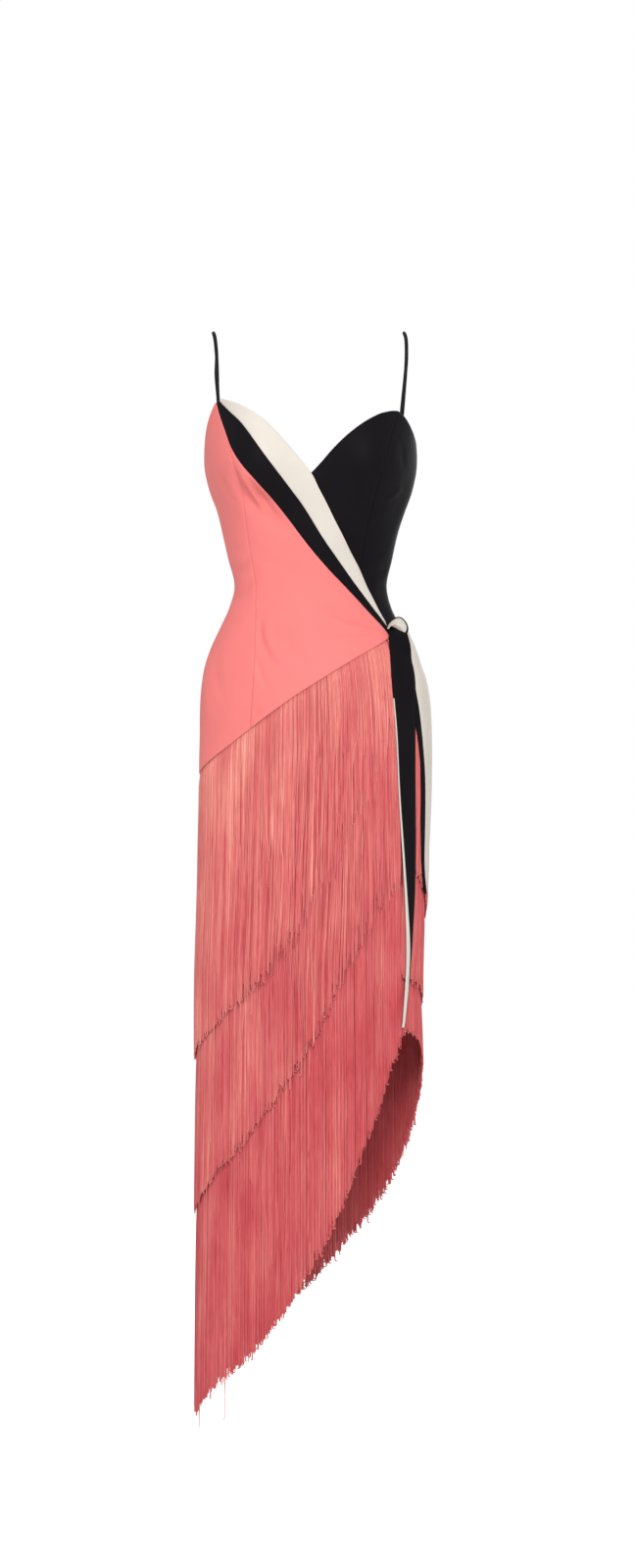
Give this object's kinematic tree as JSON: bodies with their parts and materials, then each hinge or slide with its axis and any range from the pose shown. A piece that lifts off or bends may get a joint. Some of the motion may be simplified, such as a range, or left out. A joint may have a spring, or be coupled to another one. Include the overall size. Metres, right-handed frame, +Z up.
{
  "type": "flapper dress",
  "caption": "Sleeveless wrap evening dress with contrast bands tied at the left hip, thin shoulder straps and a slanting tiered fringe skirt.",
  "frame": {"origin": "midway between the tops of the two shoulder straps, where the wearer's shoulders hold the dress", "axes": "+Z up, +X towards the wearer's left (the viewer's right from the front), -Y to the front"},
  "size_m": [0.3164, 0.2487, 1.4363],
  "materials": {
    "coral_cloth": "satin-backed crepe, soft sheen",
    "fringe_cord": "fine looped fringe cord, semi-matt",
    "black_cloth": "satin-backed crepe, soft sheen",
    "ivory_cloth": "satin-backed crepe, soft sheen",
    "strap_cord": "turned cloth tube, soft sheen"
  },
  "bodies": {
    "root": {"front_right_side": "coral_cloth", "front_right_wrap": "coral_cloth", "wrap_band_black": "black_cloth", "wrap_band_ivory": "ivory_cloth", "front_left_cup": "black_cloth", "front_left_side": "black_cloth", "back_left": "black_cloth", "back_right": "coral_cloth", "underskirt_front": "coral_cloth", "underskirt_left": "coral_cloth", "fringe_1_front": "fringe_cord", "fringe_1_back": "fringe_cord", "fringe_2_front": "fringe_cord", "fringe_2_back": "fringe_cord", "fringe_3_front": "fringe_cord", "fringe_3_back": "fringe_cord", "sash_knot": "ivory_cloth", "sash_tail_long": "black_cloth", "sash_tail_short": "ivory_cloth", "strap_right": "strap_cord", "strap_left": "strap_cord"}
  },
  "joints": []
}
